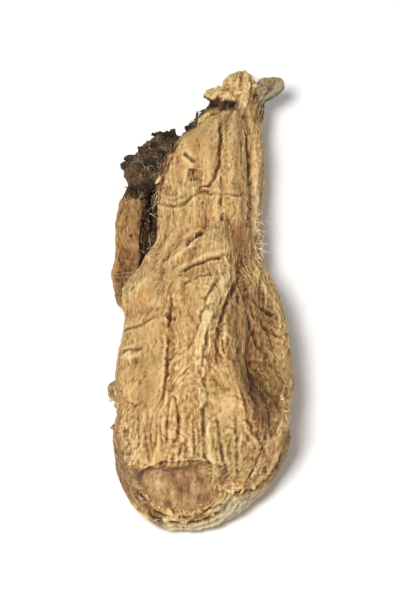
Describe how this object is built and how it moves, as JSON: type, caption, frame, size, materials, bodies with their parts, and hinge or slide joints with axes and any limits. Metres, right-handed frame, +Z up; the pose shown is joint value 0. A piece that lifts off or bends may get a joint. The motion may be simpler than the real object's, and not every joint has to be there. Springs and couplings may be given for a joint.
{
  "type": "dried ferula root",
  "caption": "Piece of dried ferula taproot lying on its side: a swollen, wrinkled body sawn across at the wide end, a narrow neck and a torn crown, with a split side root along the neck.",
  "frame": {"origin": "on the surface that the root lies on, under the middle of its bounding box", "axes": "+Y along the root from the sawn end to the crown, +Z up from the surface, +X to the right of someone who looks from the sawn end to the crown"},
  "size_m": [0.0376, 0.109, 0.0285],
  "materials": {
    "bark": "dry, matte, wrinkled tan bark with brown furrows"
  },
  "bodies": {
    "root": {"ferula_root": "bark"}
  },
  "joints": []
}
